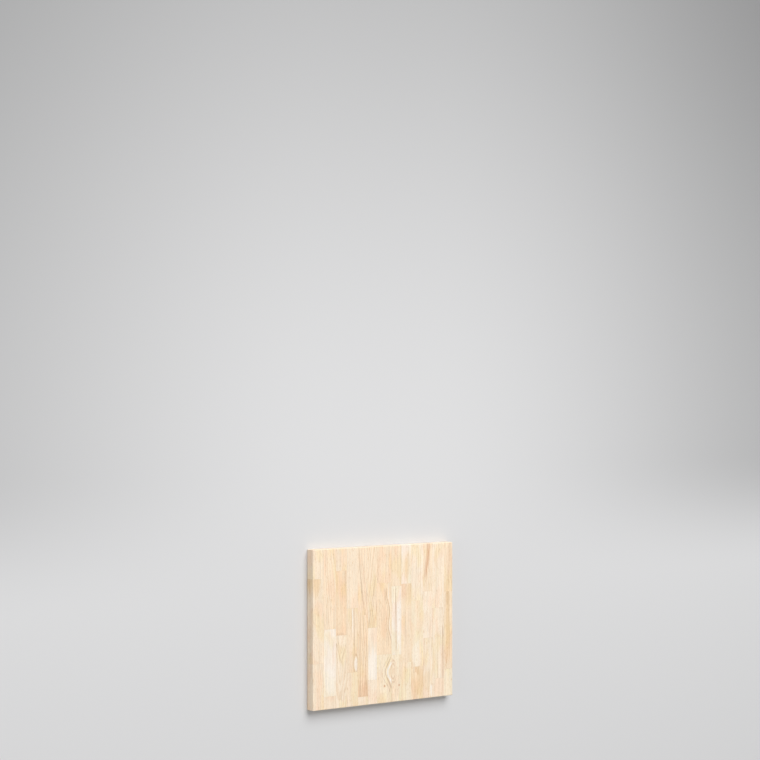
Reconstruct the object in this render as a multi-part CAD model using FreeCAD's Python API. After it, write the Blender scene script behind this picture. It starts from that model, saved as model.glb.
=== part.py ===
import FreeCAD, Part
import os

# Butcher block countertop panel, lying flat. Thirteen rows of solid wood staves are glued
# edge to edge, and each row is three staves glued end to end. All sizes are in millimetres.
# X runs across the staves, Y along them, Z up. The origin is under the middle of the panel.

# along the staves, and through the slab
length = 575
thickness = 38

# round-over on every outer edge of the finished slab
edge_radius = 3

# the rows from -X to +X: stave width, length of the stave at the -Y end, and length of the
# stave at the +Y end; the stave between them takes up what is left of the row
rows = [
    (47, 167, 106),
    (53, 46, 288),
    (47, 262, 81),
    (50, 124, 219),
    (45, 32, 247),
    (41, 89, 296),
    (66, 178, 135),
    (45, 172, 150),
    (46, 142, 144),
    (55, 121, 210),
    (44, 224, 178),
    (55, 69, 242),
    (41, 101, 184),
]

# the rows side by side make up the full depth of the worktop
depth = sum(width for width, near_length, far_length in rows)


def make_slab():
    """The whole glued-up panel as one block, with its outer edges rounded over."""
    block = Part.makeBox(depth, length, thickness, FreeCAD.Vector(-depth / 2, -length / 2, 0))
    return block.makeFillet(edge_radius, block.Edges)


def cut_stave(slab, left, right, near, far):
    """The piece of the slab between two glue lines across it and two along it."""
    corner = FreeCAD.Vector(left, near, 0)
    cutter = Part.makeBox(right - left, far - near, thickness, corner)
    return slab.common(cutter).Solids[0]


os.makedirs("parts", exist_ok=True)
slab = make_slab()
left = -depth / 2
for number, (width, near_length, far_length) in enumerate(rows, start=1):
    joints = [-length / 2, -length / 2 + near_length, length / 2 - far_length, length / 2]
    for letter, near, far in zip("abc", joints, joints[1:]):
        stave = cut_stave(slab, left, left + width, near, far)
        stave.exportStep("parts/row_%02d_stave_%s.step" % (number, letter))
    left += width
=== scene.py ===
from math import cos, pi, radians, sin

import bpy
import numpy as np
from mathutils import Matrix, Vector


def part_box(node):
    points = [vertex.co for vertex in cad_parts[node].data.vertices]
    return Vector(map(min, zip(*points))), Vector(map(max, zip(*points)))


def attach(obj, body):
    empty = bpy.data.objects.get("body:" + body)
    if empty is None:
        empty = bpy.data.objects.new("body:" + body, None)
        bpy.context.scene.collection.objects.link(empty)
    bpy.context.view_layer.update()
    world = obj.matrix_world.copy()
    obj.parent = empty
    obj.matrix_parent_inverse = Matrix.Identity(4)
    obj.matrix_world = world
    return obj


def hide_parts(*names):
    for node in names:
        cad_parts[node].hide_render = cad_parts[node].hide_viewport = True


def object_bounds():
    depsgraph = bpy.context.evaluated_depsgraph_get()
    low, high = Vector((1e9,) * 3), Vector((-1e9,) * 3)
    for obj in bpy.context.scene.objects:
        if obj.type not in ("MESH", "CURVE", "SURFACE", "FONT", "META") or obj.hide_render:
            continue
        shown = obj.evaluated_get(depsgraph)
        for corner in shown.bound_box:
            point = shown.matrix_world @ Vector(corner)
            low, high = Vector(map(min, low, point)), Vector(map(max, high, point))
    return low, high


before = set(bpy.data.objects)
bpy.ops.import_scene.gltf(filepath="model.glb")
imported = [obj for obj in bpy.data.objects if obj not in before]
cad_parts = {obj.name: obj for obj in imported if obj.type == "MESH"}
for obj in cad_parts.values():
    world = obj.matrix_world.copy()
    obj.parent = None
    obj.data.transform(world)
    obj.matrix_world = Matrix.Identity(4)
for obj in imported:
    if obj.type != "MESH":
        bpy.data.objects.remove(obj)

# A butcher block countertop panel: hardwood staves glued side by side and end to end, planed flat and
# rounded over along its outer edges. Lengths are in metres unless a note says mm.

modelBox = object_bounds()
low, high = modelBox
size = high - low


# the camera looks down on the work surface from the -X side, with +Y up the picture
cameraLook = {
    "lens": 92.7,        # mm, on a 36 mm sensor
    "turn": 36.32,       # degrees between the lens and the upright over the slab
    "tilt": 0.40,        # degrees, tips the top of the picture back
    "distance": 6.984,   # m, from the slab's near left corner along the lens
    "rise": 1.1324,      # m, towards +Y from that corner
    "aside": 0.2389,     # m, to the right of that corner
}


def addCamera(look):
    # the camera's axes are the world's turned about Y, then its place is stepped off from the corner
    turn, tilt = radians(look["turn"]), radians(look["tilt"])
    right = Vector((cos(turn), 0, sin(turn)))
    back = Vector((-sin(turn), 0, cos(turn)))
    up = Vector((0, 1, 0))
    corner = Vector((low.x, low.y, high.z))
    place = corner + right * look["aside"] + up * look["rise"] + back * look["distance"]
    axes = Matrix((right, up, back)).transposed() @ Matrix.Rotation(tilt, 3, "X")
    data = bpy.data.cameras.new("camera")
    data.lens = look["lens"]
    data.sensor_width = 36
    data.clip_end = 100
    camera = bpy.data.objects.new("camera", data)
    camera.matrix_world = Matrix.Translation(place) @ axes.to_4x4()
    bpy.context.collection.objects.link(camera)
    bpy.context.scene.camera = camera


addCamera(cameraLook)
print("camera placed")


class Wire:
    # a node's output that can stand in a sum: each operator adds one Math node

    def __init__(self, tree, socket):
        self.tree, self.socket = tree, socket

    def maths(self, operation, *terms):
        return addNode(self.tree, "Math", {"operation": operation}, dict(enumerate(terms)))

    def __add__(self, other):
        return self.maths("ADD", self, other)

    def __radd__(self, other):
        return self.maths("ADD", other, self)

    def __sub__(self, other):
        return self.maths("SUBTRACT", self, other)

    def __rsub__(self, other):
        return self.maths("SUBTRACT", other, self)

    def __mul__(self, other):
        return self.maths("MULTIPLY", self, other)

    def __rmul__(self, other):
        return self.maths("MULTIPLY", other, self)

    def __truediv__(self, other):
        return self.maths("DIVIDE", self, other)

    def __rtruediv__(self, other):
        return self.maths("DIVIDE", other, self)

    def __pow__(self, other):
        return self.maths("POWER", self, other)

    def __rpow__(self, other):
        return self.maths("POWER", other, self)

    def __abs__(self):
        return self.maths("ABSOLUTE", self)

    def output(self, name):
        return Wire(self.tree, self.socket.node.outputs[name])


def addNode(tree, kind, settings, sockets, output=0):
    # settings go on first, because they decide which sockets there are; then values and links
    node = tree.nodes.new("ShaderNode" + kind)
    for name, value in settings.items():
        setattr(node, name, value)
    for name, value in sockets.items():
        if isinstance(value, Wire):
            tree.links.new(value.socket, node.inputs[name])
        else:
            node.inputs[name].default_value = value
    return Wire(tree, node.outputs[output])


def newMaterial(name):
    # a material with its node tree and the shader that stands in it
    material = bpy.data.materials.new(name)
    material.use_nodes = True
    tree = material.node_tree
    return material, tree, tree.nodes["Principled BSDF"]


def setFinish(tree, shader, sockets):
    # what varies is linked to the shader, and plain values go straight on its sockets
    for name, value in sockets.items():
        if isinstance(value, Wire):
            tree.links.new(value.socket, shader.inputs[name])
        else:
            shader.inputs[name].default_value = value


def mixColour(tree, share, first, second):
    # first times one minus share, plus second times share
    return addNode(tree, "Mix", {"data_type": "RGBA"}, {0: share, 6: first, 7: second}, 2)


def multiplied(tree, colour, shade):
    # each channel of the colour times its own share, in nodes
    return addNode(tree, "VectorMath", {"operation": "MULTIPLY"}, {0: colour, 1: shade})


def shaded(colour, shade):
    # the same with plain numbers
    return [part * share for part, share in zip(colour, shade)]


def stretched(tree, place, lengths, seed):
    # place divided by a length for each axis, and moved to its own corner of the noise
    scale = [1 / part for part in lengths]
    offset = [seed * 7.31, seed * 3.17, seed * 5.73]
    return addNode(tree, "VectorMath", {"operation": "MULTIPLY_ADD"}, {0: place, 1: scale, 2: offset})


def noise(tree, place, lengths, seed, detail=2.0, output="Fac"):
    # cloudy noise from 0 to 1 whose lumps are as long on each axis as lengths says
    at = stretched(tree, place, lengths, seed)
    return addNode(tree, "TexNoise", {}, {"Vector": at, "Scale": 1.0, "Detail": detail}, output)


def rise(tree, value, start, stop):
    # 0 before start, 1 after stop, a smooth S between; it falls instead where stop is below start
    up = {"Value": value, "From Min": min(start, stop), "From Max": max(start, stop)}
    ends = {"To Min": 0.0, "To Max": 1.0} if stop > start else {"To Min": 1.0, "To Max": 0.0}
    return addNode(tree, "MapRange", {"interpolation_type": "SMOOTHSTEP"}, up | ends)


def largest(first, *others):
    # the highest of several values at each point
    for other in others:
        first = first.maths("MAXIMUM", first, other)
    return first


print("shader tools ready")


studio = {
    "floorColour": (0.68, 0.68, 0.685),    # linear, round the slab
    "sidePaintedShade": 0.38,                     # painted shade: how much of it is lost to the sides, beyond the slab
    "sideReach": (0.2, 2.6),               # m to the side over which that comes on
    "sideStart": (0.1, 0.6),               # m up the floor over which it comes on
    "backPaintedShade": 0.52,                     # painted shade: how much is lost towards the far end of the floor
    "backReach": (0.3, 3.2),               # m up the floor over which that comes on
    "floorWidth": 60,                      # m
    "openingInset": 0.004,                 # m, how far inside the slab's outline the floor stops
    "fadeFrom": (4.0, 10.0),               # m from the slab, where the floor turns into background
    "sky": 0.42,                           # even light from all round; 1 alone shows a colour as written
    "horizon": 0.70,                       # how bright the open background looks
    "key": 0.95,                           # soft lamp, as its share of such light on the work surface
    "keyFrom": (0.04, 0.85, 1.0),          # direction of the lamp from the slab
    "keyDistance": 9.0,                    # m
    "keyWidth": 7.0,                       # m
    "fill": 0.08,                          # weaker lamp, low down on the -X side
    "fillFrom": (-1.0, 0.1, 0.30),
    "fillDistance": 12.0,
    "fillWidth": 6.0,
}


def addFloor(look):
    # a wide square with an opening under the slab, so that the underside can be looked at too
    mesh = bpy.data.meshes.new("floor")
    side, inset = look["floorWidth"] / 2, look["openingInset"]
    right, top = high.x - inset, high.y - inset
    corners = [(across * x, along * y, low.z) for x, y in ((side, side), (right, top))
               for across, along in ((-1, -1), (1, -1), (1, 1), (-1, 1))]
    mesh.from_pydata(corners, [], [(k, (k + 1) % 4, (k + 1) % 4 + 4, k + 4) for k in range(4)])
    floor = bpy.data.objects.new("floor", mesh)
    bpy.context.collection.objects.link(floor)
    material, tree, shader = newMaterial("studio floor")
    # pale paint, with painted shade that darkens it gently past the slab, to the sides and to the far end
    place = addNode(tree, "TexCoord", {}, {}, "Object")
    x = addNode(tree, "SeparateXYZ", {}, {0: place}, "X")
    y = x.output("Y")
    # painted shade, darker to the sides and towards the far end, as if the light fell off there
    paintedShadeToSide = rise(tree, abs(x), *look["sideReach"]) * rise(tree, y, *look["sideStart"]) * look["sidePaintedShade"]
    paintedShadeToBack = rise(tree, y, *look["backReach"]) * look["backPaintedShade"]
    # beyond fadeFrom it turns into the open background, and from below it isn't there
    distance = addNode(tree, "VectorMath", {"operation": "LENGTH"}, {0: place}, "Value")
    far = rise(tree, distance, *look["fadeFrom"])
    light = (1 - paintedShadeToSide) * (1 - paintedShadeToBack) * (1 - far)
    paint = addNode(tree, "VectorMath", {"operation": "SCALE"}, {0: look["floorColour"], "Scale": light})
    glow = mixColour(tree, far, (0, 0, 0, 1), [look["horizon"]] * 3 + [1])
    solid = 1 - addNode(tree, "NewGeometry", {}, {}, "Backfacing")
    setFinish(tree, shader, {"Base Color": paint, "Roughness": 0.9, "Specular IOR Level": 0.1,
                             "Emission Color": glow, "Emission Strength": 1.0, "Alpha": solid})
    mesh.materials.append(material)


def addLamp(name, share, toLamp, distance, width):
    # a lamp this strong, straight over a white face, lights it as much as an even sky of strength share
    lamp = bpy.data.lights.new(name, "AREA")
    lamp.size = width
    lamp.energy = share * pi ** 2 * distance ** 2
    holder = bpy.data.objects.new(name, lamp)
    holder.visible_camera = False
    toLamp = Vector(toLamp).normalized()
    facing = toLamp.to_track_quat("Z", "Y").to_matrix().to_4x4()
    holder.matrix_world = Matrix.Translation(toLamp * distance) @ facing
    bpy.context.collection.objects.link(holder)


def addLight(look):
    # an even sky lights everything, and two large lamps give it a direction
    world = bpy.data.worlds.new("studio")
    bpy.context.scene.world = world
    world.use_nodes = True
    tree = world.node_tree
    # the open background is seen by the lens and in reflections, and the sky does the lighting
    camera = addNode(tree, "LightPath", {}, {}, "Is Camera Ray")
    seen = largest(camera, camera.output("Is Glossy Ray"), camera.output("Is Transmission Ray"))
    strength = look["sky"] + (look["horizon"] - look["sky"]) * seen
    background = tree.nodes["Background"]
    background.inputs["Color"].default_value = (1, 1, 1, 1)
    tree.links.new(strength.socket, background.inputs["Strength"])
    addLamp("key", look["key"], look["keyFrom"], look["keyDistance"], look["keyWidth"])
    addLamp("fill", look["fill"], look["fillFrom"], look["fillDistance"], look["fillWidth"])


addFloor(studio)
addLight(studio)
bpy.context.scene.view_settings.view_transform = "Standard"
print("floor and light ready")


# sapwood tones, linear colour of the pale early wood in each
tones = {
    "milk": (0.950, 0.850, 0.735),
    "cream": (0.950, 0.815, 0.655),
    "butter": (0.950, 0.825, 0.640),
    "straw": (0.940, 0.795, 0.625),
    "honey": (0.940, 0.775, 0.590),
    "tan": (0.935, 0.750, 0.550),
}

# how a stave was cut from its log, in mm from the stave's middle: where the pith runs (across and up),
# how far it wanders per mm of length, the width of a ring, and how much the grain bends and curls
cuts = {
    "straight": {"pith": (-120, -70), "lean": (0.004, 0.010), "ring": 3.4, "bend": 3.0, "curl": 0.0},
    "slanted": {"pith": (-60, -45), "lean": (0.030, 0.020), "ring": 4.2, "bend": 4.5, "curl": 0.0},
    "crossing": {"pith": (-85, -40), "lean": (0.150, 0.010), "ring": 6.5, "bend": 5.0, "curl": 0.0},
    "arched": {"pith": (0, -70), "lean": (0.004, 0.060), "ring": 4.6, "bend": 6.0, "curl": 0.0},
    "wavy": {"pith": (-60, -34), "lean": (0.015, 0.010), "ring": 4.4, "bend": 7.0, "curl": 3.5},
}

# sizes are mm across, along and through a stave; a strength is a share of the lightness
wood = {
    "bendSize": (40, 190, 40),             # slow bends of the grain
    "waverSize": (11, 75, 11),             # short ones
    "waver": 1.8,
    "curlSize": (20, 62, 20),              # and the waves of curly grain
    "ringSize": (22, 1, 22),               # how the rings stray from round
    "ringStray": 2.0,
    "lateShade": (0.80, 0.66, 0.50),       # late wood's colour, as a share of the tone
    "lateDepth": 0.62,                     # how strongly the rings are drawn
    "lateGrows": (0.25, 0.90),             # share of a season over which late wood comes in
    "lateStops": (1.0, 0.93),              # and over which it ends
    "lateLeast": 0.35,                     # a poor year's strength against the best one's
    "fibreSize": (0.5, 34, 0.5),
    "fibre": 0.22,
    "streakSize": (2.4, 130, 2.4),
    "streak": 0.44,
    "bandSize": (9, 260, 9),
    "band": 0.12,
    "mottleSize": (4, 9, 4),
    "mottle": 0.14,
    "cloudSize": (42, 110, 42),            # slow drifts of colour, between these two
    "pinkShade": (1.00, 0.940, 0.910),
    "yellowShade": (0.985, 0.975, 0.88),
    "cloudFrom": (0.50, 0.66),             # where in the noise a drift comes in
    "poreSize": (0.9, 9.0, 0.9),           # mm between pores
    "poreColour": (0.42, 0.27, 0.14),
    "poreDepth": 0.55,
    "poreReach": (0.26, 0.12),             # from a pore's rim to its middle, as shares of its cell
    "poreChosen": (0.50, 0.58),            # about half of the cells hold a pore
    "fleckSize": (1.7, 14, 1.7),           # clusters of pores, seen as short darker dashes
    "fleckFrom": (0.56, 0.72),
    "fleckShade": (0.86, 0.76, 0.63),
    "endColour": (0.89, 0.79, 0.65),       # end grain is duller and evener
    "endShare": 0.40,
    "endFrom": (0.55, 0.90),               # how far a face has to turn to the stave's end
    "glueShade": (0.80, 0.70, 0.57),       # glue line, as a share of the colour
    "glueWidth": 0.30,                     # mm on each side
    "sandedArrisAndHighlight": (1.0, 0.94, 0.83),        # the sanded outer edges are a little paler, and this paleness is also a painted highlight along them
    "sandedArrisAndHighlightShare": 0.15,
    "roughness": 0.47,
}


def pushed(tree, place, push, far):
    # place plus push, which is 0 to 1 on each axis, times the same distance on all three
    return addNode(tree, "VectorMath", {"operation": "MULTIPLY_ADD"}, {0: push, 1: [far] * 3, 2: place})


def markMask(tree, mark, x, y, stir):
    # 1 on a mark and 0 off it; x and y are mm from the stave's middle, and stir is a streaky noise
    # about 0 that frays every edge
    (atX, atY), (halfX, halfY) = mark["at"], mark["half"]
    along = (y - atY) / halfY
    # the middle line leans by slope, bows out by a bell curve and sways as a sine
    middle = mark.get("slope", 0.0) * (y - atY) + mark.get("bow", 0.0) * np.e ** (-2.5 * along * along)
    if "sway" in mark:
        turns = 2 * pi * y / mark["swayLength"]
        middle = middle + mark["sway"] * turns.maths("SINE", turns)
    across = (x - atX - middle) / (halfX * (1 + mark.get("taper", 0.0) * along))
    fray = stir * mark.get("fray", 1.0)
    if mark["kind"] == "streak":
        # a long band with soft ends
        return rise(tree, abs(across) + fray, 1.0, 0.2) * rise(tree, abs(along) + fray, 1.0, 0.6)
    if mark["kind"] == "patch":
        # an oval
        return rise(tree, across * across + along * along + fray, 1.0, 0.3)
    # the line round an oval, as wide as its rim
    edge = abs(across * across + along * along + 0.3 * fray - 1)
    return rise(tree, edge, mark["rim"], 0.0)


def addWood(name, look, middle, half, inner, outer, seed):
    # a solid pattern in three dimensions, so face, edge and end grain of one stave agree
    material, tree, shader = newMaterial(name)
    draw = np.random.default_rng(seed)
    grain = cuts[look["cut"]]
    world = addNode(tree, "TexCoord", {}, {}, "Object")
    place = addNode(tree, "VectorMath", {"operation": "MULTIPLY_ADD"},
                    {0: world, 1: [1000] * 3, 2: [-1000 * part for part in middle]})
    x = addNode(tree, "SeparateXYZ", {}, {0: place}, "X")
    y, z = x.output("Y"), x.output("Z")

    # grain that bends: the place is pushed about by slow noise, and by short waves where it is curly
    bent = pushed(tree, place, noise(tree, place, wood["bendSize"], seed, 2.0, "Color"), 2 * grain["bend"])
    bent = pushed(tree, bent, noise(tree, place, wood["waverSize"], seed + 40, 1.0, "Color"), wood["waver"])
    if grain["curl"]:
        waves = noise(tree, place, wood["curlSize"], seed + 80, 1.0, "Color")
        bent = pushed(tree, bent, waves, 2 * grain["curl"])

    # rings: distance from the pith's line over the ring width, so the part after the point is the season
    side = look.get("side", draw.choice([-1, 1]))
    tipped = look.get("tipped", draw.choice([-1, 1]))
    pithX = grain["pith"][0] * side * draw.uniform(0.85, 1.2) + draw.uniform(-4, 4)
    pithZ = grain["pith"][1] * draw.uniform(0.9, 1.15)
    ring = grain["ring"] * draw.uniform(0.85, 1.2)
    bentX = addNode(tree, "SeparateXYZ", {}, {0: bent}, "X")
    acrossPith = bentX - pithX - grain["lean"][0] * side * y
    overPith = bentX.output("Z") - pithZ - grain["lean"][1] * tipped * y
    fromPith = addNode(tree, "CombineXYZ", {}, {"X": acrossPith, "Z": overPith})
    radius = addNode(tree, "VectorMath", {"operation": "LENGTH"}, {0: fromPith}, "Value")
    for mark in look["marks"]:
        if "swell" in mark:
            # grain parts round a knot: the rings are pushed out by a bell curve
            atX, atY = mark["at"]
            across, along = (x - atX) / mark["flow"][0], (y - atY) / mark["flow"][1]
            radius = radius + mark["swell"] * np.e ** (-1 * (across * across + along * along))
    rings = radius / ring + wood["ringStray"] * noise(tree, fromPith, wood["ringSize"], seed + 3, 1.0)
    season = rings.maths("FRACT", rings)
    ringNumber = rings.maths("FLOOR", rings)
    vigour = addNode(tree, "TexWhiteNoise", {"noise_dimensions": "1D"}, {"W": ringNumber + seed}, "Value")
    strength = wood["lateLeast"] + (1 - wood["lateLeast"]) * vigour
    late = rise(tree, season, *wood["lateGrows"]) * rise(tree, season, *wood["lateStops"]) * strength

    # fibres, streaks, slow bands and clouds of tone, and short brown pores
    fibre = noise(tree, place, wood["fibreSize"], seed + 5, 2.0) - 0.5
    streak = noise(tree, bent, wood["streakSize"], seed + 7, 2.0) - 0.5
    band = noise(tree, bent, wood["bandSize"], seed + 9, 1.0) - 0.5
    mottle = noise(tree, place, wood["mottleSize"], seed + 15, 2.0) - 0.5
    cloud = noise(tree, place, wood["cloudSize"], seed + 11, 1.0, "Color")
    cloudPink = addNode(tree, "SeparateXYZ", {}, {0: cloud}, "X")
    cloudYellow = cloudPink.output("Y")
    fleck = rise(tree, noise(tree, bent, wood["fleckSize"], seed + 13, 2.0), *wood["fleckFrom"])
    porePlace = stretched(tree, bent, wood["poreSize"], seed)
    cell = addNode(tree, "TexVoronoi", {}, {"Vector": porePlace}, "Distance")
    chosen = addNode(tree, "SeparateXYZ", {}, {0: cell.output("Color")}, "X")
    pore = rise(tree, cell, *wood["poreReach"]) * rise(tree, chosen, *wood["poreChosen"])

    tone = tones[look["tone"]]
    depth = wood["lateDepth"] * look.get("depth", 1.0)
    colour = mixColour(tree, late * depth, [*tone, 1], [*shaded(tone, wood["lateShade"]), 1])
    for drift, shade in ((cloudPink, wood["pinkShade"]), (cloudYellow, wood["yellowShade"])):
        share = rise(tree, drift, *wood["cloudFrom"])
        colour = mixColour(tree, share, colour, multiplied(tree, colour, shade))
    for mark in look["marks"]:
        if "colour" in mark:
            share = markMask(tree, mark, x, y, 1.6 * streak + 1.2 * band) * mark["share"]
            colour = mixColour(tree, share, colour, [*mark["colour"], 1])
    lightness = (1 + wood["fibre"] * fibre + wood["streak"] * streak + wood["band"] * band
                 + wood["mottle"] * mottle)
    colour = addNode(tree, "VectorMath", {"operation": "SCALE"}, {0: colour, "Scale": lightness})
    flecked = multiplied(tree, colour, wood["fleckShade"])
    colour = mixColour(tree, fleck * look.get("fleck", 1.0), colour, flecked)
    colour = mixColour(tree, pore * wood["poreDepth"], colour, [*wood["poreColour"], 1])

    # end grain shows on faces that look along the stave
    facing = addNode(tree, "NewGeometry", {}, {}, "Normal")
    ended = rise(tree, abs(addNode(tree, "SeparateXYZ", {}, {0: facing}, "Y")), *wood["endFrom"])
    colour = mixColour(tree, ended * wood["endShare"], colour, [*wood["endColour"], 1])

    # glue lines along the inner sides, and along the outer ones the arris painted paler, as sanding and as
    # a painted highlight
    sides = {"-x": half[0] + x, "+x": half[0] - x, "-y": half[1] + y, "+y": half[1] - y}
    glue = largest(*(rise(tree, sides[way], wood["glueWidth"], 0.08) for way in inner))
    glueShare = glue * (0.75 + 2 * band)
    colour = mixColour(tree, glueShare, colour, multiplied(tree, colour, wood["glueShade"]))
    if outer:
        nearTop = rise(tree, half[2] - abs(z), slab["edge"], 0.0)
        nearSide = [rise(tree, sides[way], slab["edge"], 0.0) for way in outer]
        total = nearTop
        for near in nearSide:
            total = total + near
        # painted highlight and sanding paleness along the rounded outer edges
        sandedArrisAndHighlightMask = rise(tree, total, 1.0, 1.6)
        colour = mixColour(tree, sandedArrisAndHighlightMask * wood["sandedArrisAndHighlightShare"], colour, [*wood["sandedArrisAndHighlight"], 1])

    roughness = wood["roughness"] + 0.14 * fibre - 0.05 * late + 0.2 * pore + 0.12 * ended
    height = 0.03 * fibre + 0.012 * late - 0.05 * pore - 0.03 * glue    # mm
    relief = addNode(tree, "Bump", {}, {"Strength": 1.0, "Distance": 0.001, "Height": height}, "Normal")
    setFinish(tree, shader, {"Base Color": colour, "Roughness": roughness, "Normal": relief,
                             "Specular IOR Level": 0.4})
    return material


slab = {
    "edge": 3.0,                                        # mm, round-over of the slab's outer edges
    "ease": 0.15,                                       # mm, each stave's softened corner at a glue line
    "edgeSteps": [0, 0.12, 0.25, 0.4, 0.6, 0.8, 1.0],   # where the grid is cut, as shares of edge
    "easeSteps": [0, 0.4, 1.0, 3.0],                    # and as shares of ease
    "gridStep": 0.02,                                   # m, between the other cuts
}
darkBrown = (0.50, 0.29, 0.15)
redBrown = (0.60, 0.30, 0.15)
greyBrown = (0.50, 0.32, 0.22)
rust = (0.72, 0.42, 0.24)
ochre = (0.82, 0.57, 0.30)
milkWhite = (0.965, 0.90, 0.82)


def swelling(at, swell, flow):
    # rings pushed out by swell mm at this place, over flow mm across and along
    return {"at": at, "swell": swell, "flow": flow}


def stave(tone, cut, *marks, **choices):
    # how one stave looks: its tone, its cut and its marks
    return {"tone": tone, "cut": cut, "marks": marks, **choices}


def mark(kind, at, half, colour, share, **choices):
    # a streak, a patch or the rim of one, in a colour laid on by share at its middle
    return {"kind": kind, "at": at, "half": half, "colour": colour, "share": share, **choices}


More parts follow.
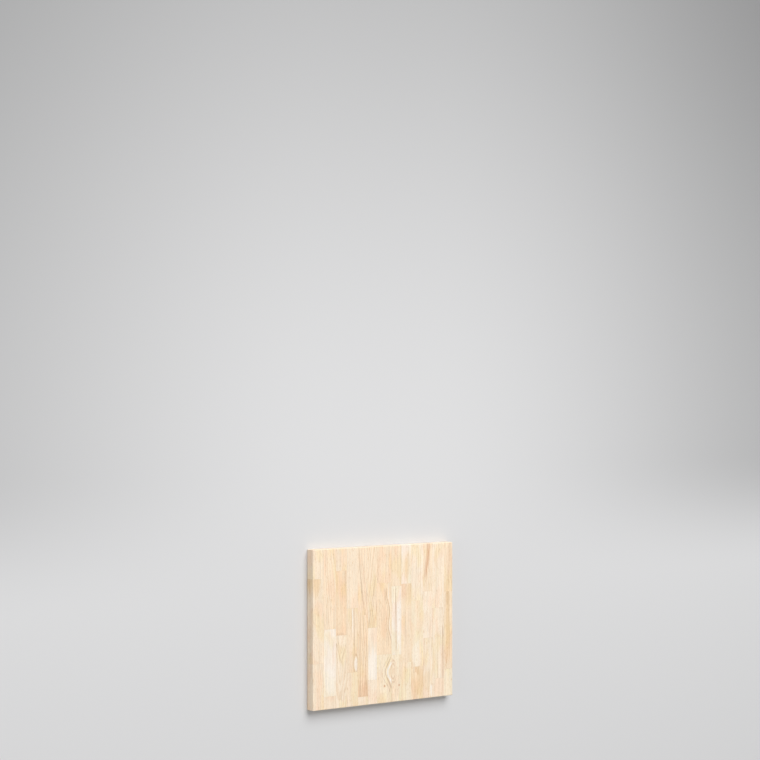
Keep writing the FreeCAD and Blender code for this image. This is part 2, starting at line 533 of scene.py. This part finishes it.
# each stave's tone and cut, and the marks on it: places and half widths are in mm from the stave's
# own middle, across and along; side and tipped turn the log round, depth is how strong the rings are
staves = {
    "row_01_stave_a": stave("straw", "slanted"),
    "row_01_stave_b": stave("straw", "straight",
        mark("patch", (-10, 156), (22, 84), ochre, 0.55)),
    "row_01_stave_c": stave("straw", "straight"),
    "row_02_stave_a": stave("straw", "straight"),
    "row_02_stave_b": stave("milk", "straight",
        mark("patch", (-2, -62), (24, 60), milkWhite, 0.45), depth=0.6, fleck=0.5),
    "row_02_stave_c": stave("honey", "slanted"),
    "row_03_stave_a": stave("straw", "arched",
        mark("streak", (-12, 70), (1.5, 34), darkBrown, 0.45, slope=-0.31),
        mark("streak", (12, 70), (1.5, 34), darkBrown, 0.45, slope=0.31),
        mark("streak", (-7, 84), (1.3, 22), darkBrown, 0.35, slope=-0.31),
        mark("streak", (7, 84), (1.3, 22), darkBrown, 0.35, slope=0.31), tipped=1),
    "row_03_stave_b": stave("tan", "straight",
        mark("patch", (0, -116), (26, 12), darkBrown, 0.20), depth=1.2),
    "row_03_stave_c": stave("straw", "straight"),
    "row_04_stave_a": stave("straw", "slanted"),
    "row_04_stave_b": stave("honey", "straight",
        mark("streak", (2.6, 66), (2.6, 56), milkWhite, 0.9, fray=0.5),
        mark("streak", (-4, 60), (1.8, 76), darkBrown, 0.42),
        mark("streak", (9, 40), (2.2, 96), darkBrown, 0.40, slope=-0.02),
        mark("rim", (16, -86), (9, 34), darkBrown, 0.34, rim=0.5),
        mark("patch", (16, -86), (8, 31), milkWhite, 0.65)),
    "row_04_stave_c": stave("straw", "straight"),
    "row_05_stave_a": stave("cream", "straight"),
    "row_05_stave_b": stave("tan", "slanted",
        mark("streak", (4, 90), (2.0, 90), darkBrown, 0.40, slope=-0.04),
        mark("streak", (-12, 30), (2.4, 120), darkBrown, 0.28),
        mark("streak", (14, -20), (2.6, 110), darkBrown, 0.30, slope=0.03),
        mark("patch", (0, -146), (30, 66), rust, 0.42), depth=1.1),
    "row_05_stave_c": stave("honey", "crossing",
        mark("streak", (-4, -10), (2.2, 134), darkBrown, 0.42, slope=-0.11, bow=-3.5),
        mark("streak", (9, -20), (5.0, 100), rust, 0.28, slope=-0.12), side=-1, depth=0.8),
    "row_06_stave_a": stave("cream", "straight", depth=0.8),
    "row_06_stave_b": stave("cream", "straight",
        mark("patch", (0, -50), (27, 74), milkWhite, 0.60), depth=0.5, fleck=0.6),
    "row_06_stave_c": stave("honey", "crossing",
        mark("streak", (1, -40), (2.2, 110), darkBrown, 0.40, slope=0.17),
        mark("streak", (11, -30), (1.8, 90), darkBrown, 0.34, slope=0.17),
        mark("streak", (17, -80), (3.0, 70), rust, 0.40, slope=0.10), side=1),
    "row_07_stave_a": stave("butter", "wavy",
        swelling((38, 24), 20, (30, 44)),
        mark("streak", (35, 24), (3.4, 66), greyBrown, 0.58, bow=-30, fray=0.4),
        mark("streak", (31, 22), (2.2, 78), greyBrown, 0.42, bow=-42, fray=0.5),
        mark("streak", (41, 22), (6.5, 54), milkWhite, 0.90, bow=-26, fray=0.4),
        mark("streak", (41, 24), (1.4, 46), redBrown, 0.40, bow=-14, fray=0.4),
        mark("streak", (14, -66), (1.8, 24), darkBrown, 0.30, slope=0.42),
        mark("patch", (1.5, -27), (6.2, 6.6), rust, 0.60, fray=0.4, swell=6, flow=(9, 14)),
        mark("patch", (1.5, -27), (3.4, 3.8), redBrown, 0.75, fray=0.4),
        mark("patch", (1.2, -26.6), (1.3, 1.6), darkBrown, 0.70, fray=0.2)),
    "row_07_stave_b": stave("tan", "wavy",
        mark("streak", (21, 0), (2.6, 128), darkBrown, 0.52, sway=5, swayLength=120, slope=-0.07, fray=0.6),
        mark("streak", (27, 0), (4.0, 120), milkWhite, 0.50, sway=4, swayLength=120, slope=-0.05),
        mark("streak", (12, 0), (1.6, 110), darkBrown, 0.34, sway=4, swayLength=120, slope=-0.05),
        depth=0.8, fleck=1.0),
    "row_07_stave_c": stave("honey", "straight"),
    "row_08_stave_a": stave("butter", "wavy",
        swelling((-16, 28), 14, (20, 40)),
        mark("patch", (-15, 27), (8, 24), rust, 0.26),
        mark("rim", (-15, 27), (9, 28), redBrown, 0.42, rim=0.5),
        mark("rim", (-15, 27), (15, 40), redBrown, 0.34, rim=0.3),
        mark("patch", (12.5, -26), (5.0, 5.6), rust, 0.50, fray=0.5, swell=6, flow=(7, 13)),
        mark("patch", (12.5, -26), (2.6, 3.0), redBrown, 0.65, fray=0.4),
        mark("patch", (12.8, -25.6), (1.1, 1.4), darkBrown, 0.60, fray=0.2),
        side=-1, depth=0.8),
    "row_08_stave_b": stave("milk", "straight",
        mark("streak", (-2, -10), (2.4, 126), darkBrown, 0.66, slope=-0.01),
        mark("streak", (-7, -10), (1.4, 120), darkBrown, 0.30, slope=-0.01),
        mark("streak", (10, -30), (9, 100), milkWhite, 0.70), depth=0.5),
    "row_08_stave_c": stave("honey", "straight"),
    "row_09_stave_a": stave("butter", "slanted"),
    "row_09_stave_b": stave("honey", "straight",
        mark("patch", (0, 140), (40, 80), rust, 0.17)),
    "row_09_stave_c": stave("milk", "straight",
        mark("streak", (0, -14), (11, 56), ochre, 0.45), depth=0.5),
    "row_10_stave_a": stave("tan", "arched",
        mark("patch", (8, 4), (30, 62), ochre, 0.40)),
    "row_10_stave_b": stave("butter", "straight",
        mark("patch", (0, -80), (26, 60), milkWhite, 0.30), depth=0.8),
    "row_10_stave_c": stave("cream", "slanted", depth=0.8),
    "row_11_stave_a": stave("cream", "slanted",
        mark("patch", (-6, -48), (24, 44), ochre, 0.30),
        mark("streak", (16, -86), (4.5, 26), milkWhite, 0.9, fray=0.5)),
    "row_11_stave_b": stave("cream", "arched", tipped=-1, depth=0.7),
    "row_11_stave_c": stave("honey", "crossing",
        mark("streak", (0, 36), (15, 84), rust, 0.55, slope=0.15, taper=0.45),
        mark("streak", (3, 44), (4.5, 64), redBrown, 0.32, slope=0.15), side=1, depth=0.8),
    "row_12_stave_a": stave("cream", "straight"),
    "row_12_stave_b": stave("cream", "slanted",
        mark("streak", (22, -30), (2.4, 80), darkBrown, 0.48, fray=1.8)),
    "row_12_stave_c": stave("cream", "slanted", depth=0.8),
    "row_13_stave_a": stave("butter", "straight", depth=0.6),
    "row_13_stave_b": stave("honey", "straight",
        mark("patch", (-4, 122), (11, 30), darkBrown, 0.22),
        mark("streak", (-2, 20), (13, 160), ochre, 0.50)),
    "row_13_stave_c": stave("honey", "slanted",
        mark("patch", (8, 10), (20, 90), rust, 0.16)),
}


def stepsAlong(start, stop, startOuter, stopOuter):
    # places along one axis, close together where a corner is rounded
    outerSteps = slab["edge"] / 1000 * np.array(slab["edgeSteps"])
    innerSteps = slab["ease"] / 1000 * np.array(slab["easeSteps"])
    near = start + (outerSteps if startOuter else innerSteps)
    far = stop - (outerSteps if stopOuter else innerSteps)[::-1]
    between = np.linspace(near[-1], far[0], max(2, int((stop - start) / slab["gridStep"])))[1:-1]
    return np.concatenate([near, between, far])


def blockSides(steps):
    # the six sides of a block, each a grid over two of its three lists of steps, facing out
    points, quads, count = [], [], 0
    for axis in range(3):
        second, third = (axis + 1) % 3, (axis + 2) % 3
        for end, turned in ((-1, False), (0, True)):
            grid = np.empty((len(steps[second]), len(steps[third]), 3))
            grid[..., axis] = steps[axis][end]
            grid[..., second] = steps[second][:, None]
            grid[..., third] = steps[third][None, :]
            index = count + np.arange(grid[..., 0].size).reshape(grid.shape[:2])
            quad = np.stack([index[:-1, :-1], index[1:, :-1], index[1:, 1:], index[:-1, 1:]], -1)
            quad = quad.reshape(-1, 4)
            quads.append(quad[:, ::-1] if turned else quad)
            points.append(grid.reshape(-1, 3))
            count += index.size
    return np.concatenate(points), np.concatenate(quads)


def rounded(points, lowest, highest, radius):
    # a point that stands further than radius from the block shrunk by radius is pulled in to it
    core = np.clip(points, lowest + radius, highest - radius)
    away = points - core
    length = np.linalg.norm(away, axis=1, keepdims=True)
    return core + away * np.minimum(1, radius / np.maximum(length, 1e-12))


def welded(points, quads):
    # points at one place become one, to a tenth of a micrometre
    found, index = np.unique(np.round(points, 7), axis=0, return_inverse=True)
    quads = index.reshape(-1)[quads]
    flat = (np.diff(np.sort(quads, axis=1), axis=1) == 0).sum(1) > 0
    return found, quads[~flat]


def cornerNormals(points, quads):
    # each point's normal is the mean of its faces', weighted by their area, so flats stay flat
    diagonals = points[quads[:, 2]] - points[quads[:, 0]], points[quads[:, 3]] - points[quads[:, 1]]
    faceNormals = np.cross(*diagonals)
    total = np.stack([np.bincount(quads.ravel(), np.repeat(part, 4), len(points))
                      for part in faceNormals.T], 1)
    return total / np.linalg.norm(total, axis=1, keepdims=True)


def addStave(node, seed):
    # a block of the stave's own outline, with eased corners inside the slab and rounded ones outside
    start, stop = (np.array(corner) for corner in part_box(node))
    whole = np.array(low), np.array(high)
    startOuter = np.abs(start - whole[0]) < 1e-4
    stopOuter = np.abs(stop - whole[1]) < 1e-4
    steps = [stepsAlong(*ends) for ends in zip(start, stop, startOuter, stopOuter)]
    points, quads = blockSides(steps)
    points = rounded(points, start, stop, slab["ease"] / 1000)
    points = rounded(points, *whole, slab["edge"] / 1000)
    points, quads = welded(points, quads)
    mesh = bpy.data.meshes.new(node + "_wood")
    mesh.from_pydata(points.tolist(), [], quads.tolist())
    mesh.polygons.foreach_set("use_smooth", [True] * len(quads))
    mesh.normals_split_custom_set_from_vertices(cornerNormals(points, quads).tolist())
    piece = bpy.data.objects.new(node + "_wood", mesh)
    bpy.context.collection.objects.link(piece)
    ways = dict(zip(("-x", "-y", "+x", "+y"), (*startOuter[:2], *stopOuter[:2])))
    inner = [way for way, isOuter in ways.items() if not isOuter]
    outer = [way for way, isOuter in ways.items() if isOuter]
    middle, half = (start + stop) / 2, (stop - start) * 500    # half is in mm
    mesh.materials.append(addWood(node + " wood", staves[node], middle, half, inner, outer, seed))
    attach(piece, "root")
    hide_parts(node)


for number, node in enumerate(staves, start=1):
    addStave(node, number)
print(len(staves), "staves made")
